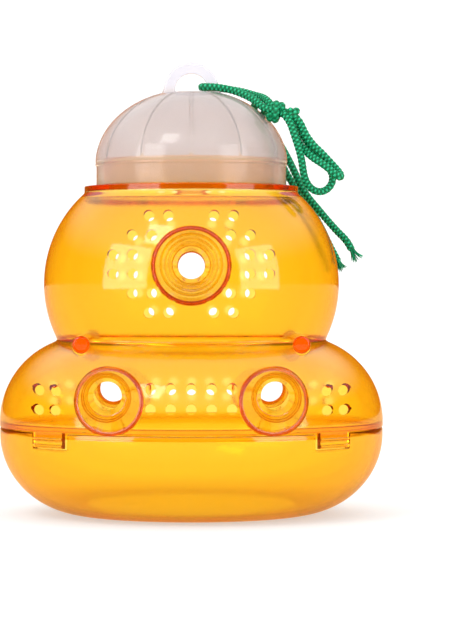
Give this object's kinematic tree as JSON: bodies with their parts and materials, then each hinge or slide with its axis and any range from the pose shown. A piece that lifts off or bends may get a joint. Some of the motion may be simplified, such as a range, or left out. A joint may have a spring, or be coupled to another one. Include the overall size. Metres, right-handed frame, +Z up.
{
  "type": "wasp trap",
  "caption": "Hanging gourd-shaped insect trap of clear plastic with cone entries, vent holes, a bottom tray, a domed cap with a loop, and a knotted braided cord.",
  "frame": {"origin": "centre of the base, on the surface that the trap stands on", "axes": "+Z up through the cap and its hanging loop, -Y out of the front entry funnels, +X to the right seen from the front"},
  "size_m": [0.1464, 0.1464, 0.1729],
  "materials": {
    "amber_plastic": "clear amber polystyrene, polished mould finish",
    "milky_plastic": "natural translucent polypropylene, satin",
    "green_cord": "braided polypropylene, slight sheen"
  },
  "bodies": {
    "gourd": {"front_shell": "amber_plastic", "back_shell": "amber_plastic", "upper_front_funnel": "amber_plastic", "upper_back_funnel": "amber_plastic", "lower_right_front_funnel": "amber_plastic", "lower_left_front_funnel": "amber_plastic", "lower_right_back_funnel": "amber_plastic", "lower_left_back_funnel": "amber_plastic", "right_waist_pin": "amber_plastic", "left_waist_pin": "amber_plastic"},
    "tray": {"bottom_tray": "amber_plastic"},
    "cap": {"cap": "milky_plastic", "cord_bight": "green_cord", "cord_knot_first": "green_cord", "cord_knot_second": "green_cord", "cord_bow_upper": "green_cord", "cord_bow_lower": "green_cord", "cord_tail_long": "green_cord", "cord_tail_short": "green_cord", "cord_tip_long": "green_cord", "cord_tip_short": "green_cord"}
  },
  "joints": [
    {"name": "tray_drop", "type": "slide", "parent": "gourd", "child": "tray", "axis": [0, 0, -1], "range_m": [0, 0.04]},
    {"name": "cap_lift", "type": "slide", "parent": "gourd", "child": "cap", "axis": [0, 0, 1], "range_m": [0, 0.045]}
  ]
}
